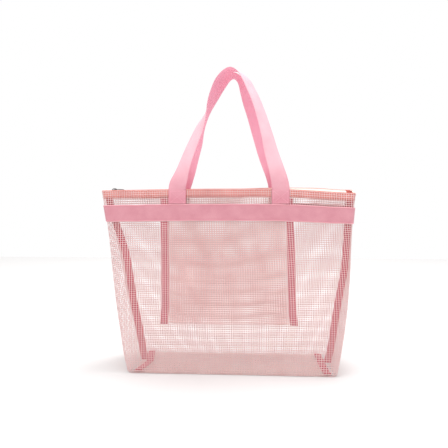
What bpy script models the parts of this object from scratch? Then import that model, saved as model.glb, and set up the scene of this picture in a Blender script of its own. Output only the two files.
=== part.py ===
"""Mesh beach bag with a zip top, two webbing handles and a hanging inner pocket.

Metres, +Z up. The origin is at the middle of the base. X runs along the bag's width, and the face
with the pocket behind it looks along -Y.
"""

import math

import bmesh
import bpy

# Bag body
TOP_WIDTH = 0.520  # across the hem
BASE_WIDTH = 0.390
BASE_DEPTH = 0.130
TOP_DEPTH = 0.031  # front to back, outside the hems
BAG_HEIGHT = 0.360
GUSSET_INSET = 0.006  # how far the side seam is pressed in at mid height
SIDE_DROP = 0.008  # the side walls' top edge, below the hem's, where the zip ends fold over
CLOTH = 0.0012
SIDE_STEPS = 13  # rows of a side wall
HEM_HEIGHT = 0.016
HEM_THICKNESS = 0.0024

# Webbing band round the bag
BAND_HEIGHT = 0.034
BAND_DROP = 0.030  # band's top edge below the hem's
WEBBING = 0.0016  # thickness

# Handles
HANDLE_WIDTH = 0.036
HANDLE_RISE = 0.245  # from the hem to the middle of the strap's highest point
FRONT_LEG_SPACING = 0.219
BACK_LEG_SPACING = 0.200
FOLD_CLEARANCE = 0.0005  # from a sewn end's face to the line the loop folds about
STRAP_STEPS = 40

# Bindings over the seam allowances
BINDING_WIDTH = 0.015
BINDING_THICKNESS = 0.0024

# Inner pocket
POCKET_WIDTH = 0.270
POCKET_DROP = 0.266  # from the hem's top edge to the pocket's fold
POCKET_MOUTH_DROP = 0.020
POCKET_MOUTH_GAP = 0.006  # between its two layers, at the mouth
POCKET_FOLD_GAP = 0.014

# Zip
ZIP_DROP = 0.001  # middle of the tape below the hem's top edge
TAPE = 0.0010
COIL_WIDTH = 0.0024  # each half
COIL_HEIGHT = 0.0012
COIL_GAP = 0.0016  # between the two halves
SLIDER_LENGTH = 0.011
SLIDER_WIDTH = 0.0076
SLIDER_PLATE = 0.0011
SLIDER_PARK = 0.013  # middle of the parked slider, from the end of the hem
ARCH_LENGTH = 0.008
ARCH_HEIGHT = 0.0036
ARCH_BAR = 0.0008
ARCH_WIDTH = 0.0020
PULL_LENGTH = 0.020
PULL_WIDTH = 0.0062
PULL_THICKNESS = 0.0010
PULL_EYE_WIDTH = 0.0034
PULL_EYE_START = 0.0010
PULL_EYE_END = 0.0050
PULL_TILT = 3.0  # degrees, tip down

GAP = 0.0003  # between pieces that touch
SEAM_GAP = 0.0006  # where two sloping sheets meet
RUN_CLEARANCE = 0.0004  # slider over the zip

# The loops' middle lines: (share of half the leg spacing, share of the rise, degrees that the
# strap has turned from lying flat on the bag towards edge on).
FRONT_ROUTE = (
    (-1.0, 0.0, 0), (-0.995, 0.04, 5), (-0.95, 0.10, 32), (-0.855, 0.18, 57), (-0.70, 0.335, 64),
    (-0.545, 0.506, 74), (-0.42, 0.624, 86), (-0.31, 0.76, 94), (-0.20, 0.87, 96),
    (-0.08, 0.96, 94), (0.06, 1.0, 90), (0.21, 0.975, 86), (0.335, 0.90, 81), (0.44, 0.82, 77),
    (0.55, 0.735, 71), (0.66, 0.604, 61), (0.76, 0.445, 53), (0.86, 0.29, 46), (0.945, 0.155, 38),
    (0.985, 0.06, 22), (1.0, 0.0, 0),
)
BACK_ROUTE = (
    (-1.0, 0.0, 0), (-0.99, 0.04, 4), (-0.92, 0.11, 26), (-0.815, 0.196, 48), (-0.70, 0.318, 59),
    (-0.61, 0.412, 66), (-0.53, 0.514, 74), (-0.44, 0.60, 80), (-0.35, 0.69, 86),
    (-0.235, 0.80, 89), (-0.10, 0.90, 90), (0.04, 0.975, 90), (0.15, 0.985, 87),
    (0.25, 0.935, 79), (0.33, 0.85, 69), (0.41, 0.76, 60), (0.51, 0.649, 54), (0.60, 0.53, 50),
    (0.70, 0.40, 45), (0.81, 0.26, 38), (0.92, 0.13, 28), (0.98, 0.05, 14), (1.0, 0.0, 0),
)

HEM_BOTTOM = BAG_HEIGHT - HEM_HEIGHT
BAND_TOP = BAG_HEIGHT - BAND_DROP
BAND_BOTTOM = BAND_TOP - BAND_HEIGHT
FLOOR_CLEAR = CLOTH + GAP  # where a wall starts, over the bottom cloth
ZIP_LEVEL = BAG_HEIGHT - ZIP_DROP
ZIP_FLAP_END = TOP_WIDTH / 2 - SLIDER_PARK - SLIDER_LENGTH / 2 - SEAM_GAP


# Shapes that the pieces share

def half_depth(z):
    """Outer face of the front and back panels, from the bag's middle plane."""
    return TOP_DEPTH / 2 + (BASE_DEPTH - TOP_DEPTH) / 2 * (1 - z / BAG_HEIGHT)


def half_width(z):
    """Fold between a face and the side walls, from the middle."""
    return BASE_WIDTH / 2 + (TOP_WIDTH - BASE_WIDTH) / 2 * z / BAG_HEIGHT


def seam_x(z):
    """Side seam, from the middle: the fold's distance less what the wall is pressed in."""
    return half_width(z) - GUSSET_INSET * math.sin(math.pi * z / BAG_HEIGHT)


def levels(low, high, count):
    return [low + (high - low) * i / (count - 1) for i in range(count)]


def material(name, colour, roughness, metallic=0.0):
    made = bpy.data.materials.new(name)
    made.use_nodes = True
    shader = made.node_tree.nodes["Principled BSDF"]
    shader.inputs["Base Color"].default_value = (*colour, 1.0)
    shader.inputs["Roughness"].default_value = roughness
    shader.inputs["Metallic"].default_value = metallic
    return made


def add_object(name, mesh, colour, roughness, metallic=0.0, parent=None):
    piece = bpy.data.objects.new(name, mesh)
    bpy.context.scene.collection.objects.link(piece)
    mesh.materials.append(material(name, colour, roughness, metallic))
    if parent is not None:
        piece.parent = parent
    return piece


def pivot(name, place):
    """An empty on a joint's axis, which the moving pieces hang from."""
    empty = bpy.data.objects.new(name, None)
    empty.location = place
    bpy.context.scene.collection.objects.link(empty)
    return empty


def moved(points, place):
    return [tuple(a - b for a, b in zip(point, place)) for point in points]


def sheet(name, rows, thickness, look, parent=None):
    """A sheet of cloth or webbing: the grid of points is its middle surface, one row after another."""
    across = len(rows[0])
    points = [point for row in rows for point in row]
    if parent is not None:
        points = moved(points, parent.location)
    faces = [
        (r * across + c, r * across + c + 1, (r + 1) * across + c + 1, (r + 1) * across + c)
        for r in range(len(rows) - 1)
        for c in range(across - 1)
    ]
    mesh = bpy.data.meshes.new(name)
    mesh.from_pydata(points, [], faces)
    piece = add_object(name, mesh, *look, parent=parent)
    wall = piece.modifiers.new("Thickness", "SOLIDIFY")
    wall.thickness = thickness
    wall.offset = 0.0
    wall.use_even_offset = True
    return piece


def shell(name, inside, outside, look):
    """A closed wall between two grids of points that have the same rows and columns."""
    down, across = len(inside), len(inside[0])
    count = down * across
    points = [point for rows in (inside, outside) for row in rows for point in row]
    faces = []
    for r in range(down - 1):
        for c in range(across - 1):
            quad = (r * across + c, r * across + c + 1, (r + 1) * across + c + 1, (r + 1) * across + c)
            faces += [quad, tuple(k + count for k in quad[::-1])]
    rim = list(range(across)) + [(r + 1) * across - 1 for r in range(1, down)]
    rim += [count - 2 - c for c in range(across - 1)]
    rim += [r * across for r in range(down - 2, 0, -1)]
    for a, b in zip(rim, rim[1:] + rim[:1]):
        faces.append((a, a + count, b + count, b))
    mesh = bpy.data.meshes.new(name)
    mesh.from_pydata(points, [], faces)
    shape = bmesh.new()
    shape.from_mesh(mesh)
    bmesh.ops.recalc_face_normals(shape, faces=shape.faces)
    shape.to_mesh(mesh)
    shape.free()
    return add_object(name, mesh, *look)


def box_mesh(name, low, high):
    mesh = bpy.data.meshes.new(name)
    shape = bmesh.new()
    bmesh.ops.create_cube(shape, size=1.0)
    for vertex in shape.verts:
        for axis in range(3):
            middle = (low[axis] + high[axis]) / 2
            vertex.co[axis] = middle + vertex.co[axis] * (high[axis] - low[axis])
    shape.to_mesh(mesh)
    shape.free()
    return mesh


def block(name, low, high, look, parent=None):
    if parent is not None:
        low, high = moved([low, high], parent.location)
    return add_object(name, box_mesh(name, low, high), *look, parent=parent)


def helper(name, mesh, parent):
    """A shape that only cuts another or joins it, and isn't a piece."""
    piece = bpy.data.objects.new(name, mesh)
    bpy.context.scene.collection.objects.link(piece)
    piece.parent = parent
    piece.hide_render = True
    piece.display_type = "WIRE"
    return piece


def boolean(piece, other, operation):
    step = piece.modifiers.new(other.name, "BOOLEAN")
    step.operation = operation
    step.object = other
    step.solver = "EXACT"


# Looks: base colour, roughness, metallic

MESH_PINK = ((0.93, 0.62, 0.61), 0.55)
HEM_PINK = ((0.88, 0.42, 0.38), 0.55)
WEBBING_PINK = ((0.86, 0.42, 0.52), 0.7)
HANDLE_PINK = ((0.98, 0.55, 0.66), 0.7)
BINDING_PINK = ((0.72, 0.16, 0.30), 0.7)
TAPE_PALE = ((0.98, 0.80, 0.74), 0.8)
COIL_PINK = ((0.95, 0.62, 0.62), 0.45)
GUNMETAL = ((0.05, 0.05, 0.055), 0.35, 1.0)


def face_panel(name, side):
    """The front cloth (side -1) or the back cloth (side 1), up to the hem."""
    rows = []
    for z in levels(FLOOR_CLEAR, HEM_BOTTOM - GAP, 5):
        y = side * (half_depth(z) - CLOTH / 2)
        rows.append([(share * half_width(z), y, z) for share in levels(-side, side, 5)])
    sheet(name, rows, CLOTH, MESH_PINK)


def hem(name, side):
    """The cloth folded to the inside along the mouth."""
    rows = []
    for z in (HEM_BOTTOM, BAG_HEIGHT):
        y = side * (half_depth(z) - HEM_THICKNESS / 2)
        rows.append([(share * half_width(z), y, z) for share in levels(-side, side, 5)])
    sheet(name, rows, HEM_THICKNESS, HEM_PINK)


def side_wall(name, hand, side):
    """Half a side wall: from the fold beside a face to the side seam. hand -1 is left."""
    rows = []
    for z in levels(FLOOR_CLEAR, BAG_HEIGHT - SIDE_DROP, SIDE_STEPS):
        face_wall = CLOTH if z < HEM_BOTTOM - HEM_HEIGHT else HEM_THICKNESS
        start = half_depth(z) - face_wall - SEAM_GAP
        row = []
        for y in levels(start, GAP / 2, 3):
            pressed = (half_width(z) - seam_x(z)) * (1 - y / half_depth(z))
            row.append((hand * (half_width(z) - pressed - CLOTH / 2), side * y, z))
        rows.append(row if hand * side < 0 else row[::-1])
    sheet(name, rows, CLOTH, MESH_PINK)


def side_binding(name, hand):
    """Tape folded over the side seam's allowance, standing into the bag."""
    rows = []
    for z in levels(FLOOR_CLEAR + BINDING_THICKNESS + 2 * SEAM_GAP, HEM_BOTTOM - GAP, SIDE_STEPS):
        outer = seam_x(z) - CLOTH - 2 * SEAM_GAP
        rows.append([(hand * (outer - BINDING_WIDTH), 0, z), (hand * outer, 0, z)])
    sheet(name, rows, BINDING_THICKNESS, BINDING_PINK)


def corner_binding(name, hand):
    """Tape over the boxed corner's seam, lying on the bottom."""
    z = FLOOR_CLEAR + BINDING_THICKNESS / 2
    outer = half_width(0) - CLOTH - 2 * SEAM_GAP
    reach = half_depth(FLOOR_CLEAR + BINDING_THICKNESS) - CLOTH - SEAM_GAP
    rows = [
        [(hand * (outer - BINDING_WIDTH), y, z), (hand * outer, y, z)] for y in (-reach, reach)
    ]
    sheet(name, rows, BINDING_THICKNESS, BINDING_PINK)


def pocket_gap(z):
    """Space between the pocket's two layers at this height."""
    mouth, fold = BAG_HEIGHT - POCKET_MOUTH_DROP, BAG_HEIGHT - POCKET_DROP
    return POCKET_FOLD_GAP + (POCKET_MOUTH_GAP - POCKET_FOLD_GAP) * (z - fold) / (mouth - fold)


def pocket_front_y(z):
    """Middle of the pocket's outer layer, which lies against the front cloth."""
    return -(half_depth(z) - CLOTH - SEAM_GAP - CLOTH / 2)


def pocket():
    """A flat pouch: two layers that are one cloth folded at the bottom, and a tape down each side."""
    mouth, fold = BAG_HEIGHT - POCKET_MOUTH_DROP, BAG_HEIGHT - POCKET_DROP
    half = POCKET_WIDTH / 2 - BINDING_WIDTH - GAP
    heights = levels(fold + CLOTH + GAP, mouth, 5)
    outer = [[(x, pocket_front_y(z), z) for x in levels(-half, half, 3)] for z in heights]
    inner = [
        [(x, pocket_front_y(z) + CLOTH + pocket_gap(z), z) for x in levels(-half, half, 3)]
        for z in heights
    ]
    sheet("pocket_outer_layer", outer, CLOTH, MESH_PINK)
    sheet("pocket_inner_layer", inner, CLOTH, MESH_PINK)
    front = pocket_front_y(fold) - CLOTH / 2
    back = front + 2 * CLOTH + pocket_gap(fold)
    z = fold + CLOTH / 2
    bottom = [[(x, y, z) for x in (-half, half)] for y in (front + SEAM_GAP, back)]
    sheet("pocket_fold", bottom, CLOTH, MESH_PINK)
    for name, hand in (("pocket_left_binding", -1), ("pocket_right_binding", 1)):
        pocket_binding(name, hand, fold, mouth)


def pocket_binding(name, hand, low, high):
    """The tape that closes one side of the pocket, as deep as the pocket is there."""
    xs = sorted(hand * x for x in (POCKET_WIDTH / 2 - BINDING_WIDTH, POCKET_WIDTH / 2))
    points = []
    for z in (low, high):
        front = pocket_front_y(z) - CLOTH / 2
        back = front + 2 * CLOTH + pocket_gap(z)
        points += [(xs[0], front, z), (xs[1], front, z), (xs[1], back, z), (xs[0], back, z)]
    faces = [(3, 2, 1, 0), (4, 5, 6, 7), (0, 1, 5, 4), (1, 2, 6, 5), (2, 3, 7, 6), (3, 0, 4, 7)]
    mesh = bpy.data.meshes.new(name)
    mesh.from_pydata(points, [], faces)
    add_object(name, mesh, *BINDING_PINK)


def band(name, side):
    """Webbing round one face of the bag and on to both side seams."""
    walls = []
    for proud in (GAP, GAP + WEBBING):
        rows = []
        for z in levels(BAND_BOTTOM, BAND_TOP, 4):
            corner = (half_width(z) + proud, half_depth(z) + proud)
            end = (seam_x(z) + proud, SEAM_GAP)
            wing = [[a + (b - a) * share for a, b in zip(end, corner)] for share in levels(0, 1, 4)]
            row = [(-x, side * y, z) for x, y in wing] + [(x, side * y, z) for x, y in wing[::-1]]
            rows.append(row)
        walls.append(rows)
    shell(name, *walls, WEBBING_PINK)


def strap_y(z):
    """Middle of the webbing lying on a face, from the bag's middle plane."""
    return half_depth(z) + GAP + WEBBING / 2


def handle_end(name, side, x):
    """The sewn end of a handle, from the band up to the hem's top edge."""
    rows = []
    for z in (BAND_TOP + GAP, BAG_HEIGHT - GAP):
        y = side * strap_y(z)
        rows.append([(x - HANDLE_WIDTH / 2, y, z), (x + HANDLE_WIDTH / 2, y, z)])
    sheet(name, rows, WEBBING, HANDLE_PINK)


def smooth(values, t):
    """Catmull-Rom through a list of tuples; t runs from 0 to len - 1."""
    i = min(int(t), len(values) - 2)
    u = t - i
    a, b, c, d = (values[min(max(i + k, 0), len(values) - 1)] for k in (-1, 0, 1, 2))
    return tuple(
        0.5 * (2 * q + (r - p) * u + (2 * p - 5 * q + 4 * r - s) * u * u
               + (3 * q - p - 3 * r + s) * u ** 3)
        for p, q, r, s in zip(a, b, c, d)
    )


def handle_loop(name, side, spacing, route, parent):
    """A strap from one sewn end to the other. Its width starts along X and turns towards the
    outside of the bag, so that the loop's back edges meet over the mouth."""
    start = BAG_HEIGHT + GAP
    base_y, top_y = strap_y(BAG_HEIGHT), HANDLE_WIDTH / 2 + SEAM_GAP
    middle = []
    for i in range(STRAP_STEPS + 1):
        across, rise, turn = smooth(route, (len(route) - 1) * i / STRAP_STEPS)
        middle.append((across * spacing / 2, start + rise * HANDLE_RISE, turn, rise))
    rows = []
    for i, (x, z, turn, rise) in enumerate(middle):
        before, after = middle[max(i - 1, 0)], middle[min(i + 1, STRAP_STEPS)]
        run, climb = after[0] - before[0], after[1] - before[1]
        if i in (0, STRAP_STEPS):
            run = 0.0  # the strap leaves its sewn end straight up
        length = math.hypot(run, climb)
        inward = (climb / length, -run / length)
        flat = math.cos(math.radians(turn)) * HANDLE_WIDTH / 2
        out = math.sin(math.radians(turn)) * HANDLE_WIDTH / 2
        y = base_y + (top_y - base_y) * rise
        inner = (x + inward[0] * flat, side * (y + out), z + inward[1] * flat)
        outer = (x - inward[0] * flat, side * (y - out), z - inward[1] * flat)
        rows.append([outer, inner] if side < 0 else [inner, outer])
    sheet(name, rows, WEBBING, HANDLE_PINK, parent)


def handle(word, side, spacing, route):
    for hand, x in (("left", -spacing / 2), ("right", spacing / 2)):
        handle_end(f"{word}_handle_{hand}_end", side, x)
    fold_y = side * (strap_y(BAG_HEIGHT) + WEBBING / 2 + FOLD_CLEARANCE)
    fold = pivot(f"{word}_handle_fold", (0, fold_y, BAG_HEIGHT))
    handle_loop(f"{word}_handle_loop", side, spacing, route, fold)


def zip_half(word, side):
    """One tape with its row of coil, which folds down about the stitched edge."""
    sewn = half_depth(BAG_HEIGHT) - HEM_THICKNESS - SEAM_GAP
    edge = pivot(f"zip_{word}_edge", (0, side * sewn, ZIP_LEVEL))
    ys = sorted(side * y for y in (COIL_GAP / 2, sewn - GAP))
    block(
        f"zip_{word}_tape",
        (-ZIP_FLAP_END, ys[0], ZIP_LEVEL - TAPE / 2),
        (ZIP_FLAP_END, ys[1], ZIP_LEVEL + TAPE / 2),
        TAPE_PALE,
        edge,
    )
    ys = sorted(side * y for y in (COIL_GAP / 2, COIL_GAP / 2 + COIL_WIDTH))
    bottom = ZIP_LEVEL + TAPE / 2 + GAP
    block(
        f"zip_{word}_coil",
        (-ZIP_FLAP_END, ys[0], bottom),
        (ZIP_FLAP_END, ys[1], bottom + COIL_HEIGHT),
        COIL_PINK,
        edge,
    )


def zip_end(name, hand):
    """The tapes' folded and sewn end, between the side wall and the parked slider."""
    outer = half_width(ZIP_LEVEL) - CLOTH - SEAM_GAP
    inner = TOP_WIDTH / 2 - SLIDER_PARK + SLIDER_LENGTH / 2 + GAP
    reach = half_depth(BAG_HEIGHT) - HEM_THICKNESS - SEAM_GAP
    xs = sorted(hand * x for x in (inner, outer))
    block(
        name,
        (xs[0], -reach, ZIP_LEVEL - TAPE / 2),
        (xs[1], reach, ZIP_LEVEL + TAPE),
        TAPE_PALE,
    )


def arch_mesh(name, low):
    """The slider's bridge: a half ellipse of bar, standing on the height low."""
    mesh = bpy.data.meshes.new(name)
    count = 12
    rings = []
    for length, height in (
        (ARCH_LENGTH / 2, ARCH_HEIGHT),
        (ARCH_LENGTH / 2 - ARCH_BAR * 1.5, ARCH_HEIGHT - ARCH_BAR),
    ):
        rings.append(
            [
                (length * math.cos(math.pi * i / count), height * math.sin(math.pi * i / count))
                for i in range(count + 1)
            ]
        )
    outline = [(x, low + z) for x, z in rings[0]]
    outline += [(x, low + z) for x, z in reversed(rings[1])]
    half = ARCH_WIDTH / 2
    total = len(outline)
    points = [(x, -half, z) for x, z in outline] + [(x, half, z) for x, z in outline]
    faces = []
    for i in range(count):
        near = (i, i + 1, total - 2 - i, total - 1 - i)
        faces += [near[::-1], tuple(k + total for k in near)]
    for i in range(total):
        j = (i + 1) % total
        faces.append((i, j, j + total, i + total))
    mesh.from_pydata(points, [], faces)
    shape = bmesh.new()
    shape.from_mesh(mesh)
    bmesh.ops.recalc_face_normals(shape, faces=shape.faces)
    shape.to_mesh(mesh)
    shape.free()
    return mesh


def slider():
    """Two plates either side of the zip, the post that parts the coils, the bridge and the pull."""
    x = -(TOP_WIDTH / 2 - SLIDER_PARK)
    centre = pivot("zip_slider_place", (x, 0, ZIP_LEVEL))
    half_length, half_span = SLIDER_LENGTH / 2, SLIDER_WIDTH / 2
    under = -TAPE / 2 - RUN_CLEARANCE
    over = TAPE / 2 + GAP + COIL_HEIGHT + RUN_CLEARANCE
    body = add_object(
        "zip_slider",
        box_mesh(
            "zip_slider", (-half_length, -half_span, under - SLIDER_PLATE),
            (half_length, half_span, under),
        ),
        *GUNMETAL,
        parent=centre,
    )
    top = over + SLIDER_PLATE
    plate = helper(
        "slider_top_plate",
        box_mesh("slider_top_plate", (-half_length, -half_span, over), (half_length, half_span, top)),
        centre,
    )
    post_half = COIL_GAP / 2 - GAP
    overlap = SLIDER_PLATE / 2
    post = helper(
        "slider_post",
        box_mesh(
            "slider_post",
            (-half_length / 2, -post_half, under - overlap),
            (half_length / 2, post_half, over + overlap),
        ),
        centre,
    )
    bridge = helper("slider_bridge", arch_mesh("slider_bridge", top - overlap / 2), centre)
    for part in (post, plate, bridge):
        boolean(body, part, "UNION")
    pull(x, ZIP_LEVEL + top - overlap / 2 + (ARCH_HEIGHT - ARCH_BAR) / 2)


def pull(x, z):
    """A flat tab whose eye goes round the bridge. Its own X starts on the swinging axis."""
    hinge = pivot("zip_pull_axis", (x, 0, z))
    hinge.rotation_euler = (0, math.radians(PULL_TILT), 0)
    half, thick = PULL_WIDTH / 2, PULL_THICKNESS / 2
    tab = add_object(
        "zip_pull",
        box_mesh("zip_pull", (-thick, -half, -thick), (PULL_LENGTH, half, thick)),
        *GUNMETAL,
        parent=hinge,
    )
    eye = helper(
        "pull_eye",
        box_mesh(
            "pull_eye",
            (PULL_EYE_START, -PULL_EYE_WIDTH / 2, -PULL_THICKNESS),
            (PULL_EYE_END, PULL_EYE_WIDTH / 2, PULL_THICKNESS),
        ),
        hinge,
    )
    boolean(tab, eye, "DIFFERENCE")


def bottom():
    block(
        "bottom_panel",
        (-BASE_WIDTH / 2, -BASE_DEPTH / 2, 0),
        (BASE_WIDTH / 2, BASE_DEPTH / 2, CLOTH),
        MESH_PINK,
    )


def build():
    for thing in list(bpy.data.objects):
        bpy.data.objects.remove(thing, do_unlink=True)
    for word, side in (("front", -1), ("back", 1)):
        face_panel(f"{word}_panel", side)
        hem(f"{word}_hem", side)
        band(f"{word}_band", side)
        zip_half(word, side)
    bottom()
    for word, hand in (("left", -1), ("right", 1)):
        side_wall(f"{word}_gusset_front", hand, -1)
        side_wall(f"{word}_gusset_back", hand, 1)
        side_binding(f"{word}_side_binding", hand)
        corner_binding(f"{word}_corner_binding", hand)
        zip_end(f"zip_{word}_end", hand)
    pocket()
    handle("front", -1, FRONT_LEG_SPACING, FRONT_ROUTE)
    handle("back", 1, BACK_LEG_SPACING, BACK_ROUTE)
    slider()


build()
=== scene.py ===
import bpy
import numpy as np
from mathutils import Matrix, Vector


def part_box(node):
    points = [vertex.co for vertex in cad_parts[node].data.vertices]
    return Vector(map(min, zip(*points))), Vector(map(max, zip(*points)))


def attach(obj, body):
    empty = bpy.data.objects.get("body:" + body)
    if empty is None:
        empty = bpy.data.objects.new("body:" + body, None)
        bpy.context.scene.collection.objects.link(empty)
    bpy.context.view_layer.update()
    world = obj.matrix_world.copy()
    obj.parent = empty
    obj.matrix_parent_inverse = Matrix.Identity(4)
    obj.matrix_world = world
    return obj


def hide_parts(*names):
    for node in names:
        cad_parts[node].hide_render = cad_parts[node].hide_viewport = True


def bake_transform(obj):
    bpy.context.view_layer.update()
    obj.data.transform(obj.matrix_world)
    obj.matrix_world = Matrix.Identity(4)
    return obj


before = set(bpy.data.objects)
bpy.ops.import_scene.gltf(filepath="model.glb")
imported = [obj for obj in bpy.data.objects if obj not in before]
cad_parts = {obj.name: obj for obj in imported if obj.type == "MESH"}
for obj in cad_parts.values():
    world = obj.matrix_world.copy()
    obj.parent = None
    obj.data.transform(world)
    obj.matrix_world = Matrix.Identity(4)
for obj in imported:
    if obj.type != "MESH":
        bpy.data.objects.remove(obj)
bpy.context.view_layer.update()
print("frame loaded")


# camera, lights and floor

camera = {
    "place": (0.0296, -0.8716, 0.3125),
    "turn": 0.0538,  # radians to the left
    "tilt": -0.0245,  # radians below the horizon
    "lens": 33.87,  # millimetres, on a sensor 36 mm wide
    "sensor": 36.0,
    "nearClip": 0.02,
}
studio = {
    "background": 1.0,
    "floorTint": (0.76, 0.748, 0.744),
    "floorReach": 2.1,
    "floorDrop": 0.0003,
    "aimHeight": 0.2,  # where both lamps point
    "keyPlace": (0.35, 0.5, 2.8),
    "keySize": 0.9,
    "keyPower": 26.0,
    "fillPlace": (-0.2, -0.6, 3.2),
    "fillSize": 3.6,
    "fillPower": 48.0,
}


def makeCamera():
    lensBlock = bpy.data.cameras.new("camera")
    lensBlock.sensor_width = camera["sensor"]
    lensBlock.lens = camera["lens"]
    lensBlock.clip_start = camera["nearClip"]
    thing = bpy.data.objects.new("camera", lensBlock)
    thing.location = camera["place"]
    thing.rotation_euler = (np.pi / 2 + camera["tilt"], 0, camera["turn"])
    bpy.context.scene.collection.objects.link(thing)
    bpy.context.scene.camera = thing


def makeLamp(name, place, size, power):
    lamp = bpy.data.lights.new(name, "AREA")
    lamp.size, lamp.energy = size, power
    thing = bpy.data.objects.new(name, lamp)
    thing.location = place
    aim = np.array((0, 0, studio["aimHeight"])) - np.array(place)
    flat = np.hypot(aim[0], aim[1])
    thing.rotation_euler = (np.pi / 2 + np.arctan2(aim[2], flat), 0, np.arctan2(-aim[0], aim[1]))
    bpy.context.scene.collection.objects.link(thing)


def makeWorld():
    world = bpy.data.worlds.new("studio")
    world.use_nodes = True
    sky = world.node_tree.nodes["Background"]
    sky.inputs["Color"].default_value = (1, 1, 1, 1)
    sky.inputs["Strength"].default_value = studio["background"]
    bpy.context.scene.world = world
    bpy.context.scene.view_settings.view_transform = "Standard"


# small helpers


def unit(v):
    # each vector divided by its own length
    return v / np.maximum(np.linalg.norm(v, axis=-1, keepdims=True), 1e-12)


def ease(x, low, high):
    # 0 below low, 1 above high, and 3t squared less 2t cubed between them
    t = np.clip((x - low) / (high - low), 0, 1)
    return t * t * (3 - 2 * t)


def paint(red, green, blue):
    # screen colour, 0 to 255, as the linear colour that a shader takes
    c = np.array((red, green, blue)) / 255
    linear = np.where(c <= 0.04045, c / 12.92, ((c + 0.055) / 1.055) ** 2.4)
    return (*linear.tolist(), 1.0)


def cells(rows, cols, roundCols=False):
    # the four corners of every cell of a grid whose points are numbered row by row
    j, i = np.meshgrid(np.arange(rows - 1), np.arange(cols if roundCols else cols - 1), indexing="ij")
    right = (i + 1) % cols
    corners = (j * cols + i, j * cols + right, (j + 1) * cols + right, (j + 1) * cols + i)
    return np.stack(corners, -1).reshape(-1, 4)


def loft(rings):
    # rings of an even number of points, joined into a closed skin with a cap of quads at each end
    rows, cols = rings.shape[:2]
    i = np.arange(cols // 2 - 1)
    cap = np.stack((i, i + 1, cols - 2 - i, cols - 1 - i), -1)
    faces = np.concatenate((cells(rows, cols, True), cap[:, ::-1], cap + (rows - 1) * cols))
    return rings.reshape(-1, 3), faces


def bars(rings):
    # many closed bars at once: rings is (bars, stations, four corners, xyz)
    count, stations = rings.shape[:2]
    index = np.arange(count * stations * 4).reshape(count, stations, 4)
    after = np.roll(index, -1, axis=2)
    sides = np.stack((index[:, :-1], after[:, :-1], after[:, 1:], index[:, 1:]), -1)
    faces = np.concatenate(
        (sides.reshape(-1, 4), index[:, 0, ::-1].reshape(-1, 4), index[:, -1].reshape(-1, 4))
    )
    return rings.reshape(-1, 3), faces


def join(*solids):
    # several (points, faces) as one
    points, faces, start = [], [], 0
    for p, f in solids:
        points.append(p)
        faces.append(f + start)
        start += len(p)
    return np.concatenate(points), np.concatenate(faces)


def facedOut(points, faces):
    # the faces turned over if the volume that they enclose comes out negative
    a, b, c, d = (points[faces[:, k]] for k in range(4))
    volume = (np.cross(b, c) * a).sum() + (np.cross(c, d) * a).sum()
    return faces if volume > 0 else faces[:, ::-1]


def makePiece(name, solid, look, replaced=(), uv=None, smooth=True):
    points, faces = solid
    faces = facedOut(points, faces)
    mesh = bpy.data.meshes.new(name)
    mesh.vertices.add(len(points))
    mesh.vertices.foreach_set("co", points.astype(np.float32).ravel())
    mesh.loops.add(faces.size)
    mesh.loops.foreach_set("vertex_index", faces.astype(np.int32).ravel())
    mesh.polygons.add(len(faces))
    mesh.polygons.foreach_set("loop_start", np.arange(0, faces.size, 4, dtype=np.int32))
    mesh.update(calc_edges=True)
    mesh.polygons.foreach_set("use_smooth", np.full(len(faces), smooth))
    if uv is not None:
        layer = mesh.uv_layers.new(name="strap")
        layer.data.foreach_set("uv", uv[faces.ravel()].astype(np.float32).ravel())
    mesh.materials.append(look)
    piece = bpy.data.objects.new(name, mesh)
    bpy.context.scene.collection.objects.link(piece)
    if replaced:
        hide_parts(*replaced)
    return piece


# materials


def newLook(name):
    look = bpy.data.materials.new(name)
    look.use_nodes = True
    nodes, links = look.node_tree.nodes, look.node_tree.links
    return look, nodes, links, nodes["Principled BSDF"]


def tinted(nodes, links, shader, factor, dark, light):
    ramp = nodes.new("ShaderNodeValToRGB")
    ramp.color_ramp.elements[0].position = 0.25
    ramp.color_ramp.elements[1].position = 0.75
    ramp.color_ramp.elements[0].color = dark
    ramp.color_ramp.elements[1].color = light
    links.new(factor, ramp.inputs["Fac"])
    links.new(ramp.outputs["Color"], shader.inputs["Base Color"])


def bumped(nodes, links, shader, height, strength, distance):
    bump = nodes.new("ShaderNodeBump")
    bump.inputs["Strength"].default_value = strength
    bump.inputs["Distance"].default_value = distance
    links.new(height, bump.inputs["Height"])
    links.new(bump.outputs["Normal"], shader.inputs["Normal"])


def noise(nodes, links, source, scale, detail=2.0):
    texture = nodes.new("ShaderNodeTexNoise")
    texture.inputs["Scale"].default_value = scale
    texture.inputs["Detail"].default_value = detail
    links.new(source, texture.inputs["Vector"])
    return texture.outputs["Fac"]


def calc(nodes, links, operation, a, b):
    node = nodes.new("ShaderNodeMath")
    node.operation = operation
    for socket, value in zip(node.inputs, (a, b)):
        if isinstance(value, (int, float)):
            socket.default_value = value
        else:
            links.new(value, socket)
    return node.outputs[0]


def yarnLook(name, dark, light, roughness=0.42, sheen=0.15):
    # coated yarn: slow colour drift over the cloth, and a fine grain along the strands
    look, nodes, links, shader = newLook(name)
    place = nodes.new("ShaderNodeTexCoord").outputs["Object"]
    drift = noise(nodes, links, place, 45.0, 3.0)
    tinted(nodes, links, shader, drift, dark, light)
    bumped(nodes, links, shader, noise(nodes, links, place, 2600.0), 0.35, 0.0002)
    shader.inputs["Roughness"].default_value = roughness
    shader.inputs["Sheen Weight"].default_value = sheen
    shader.inputs["Sheen Roughness"].default_value = 0.4
    return look


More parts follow.
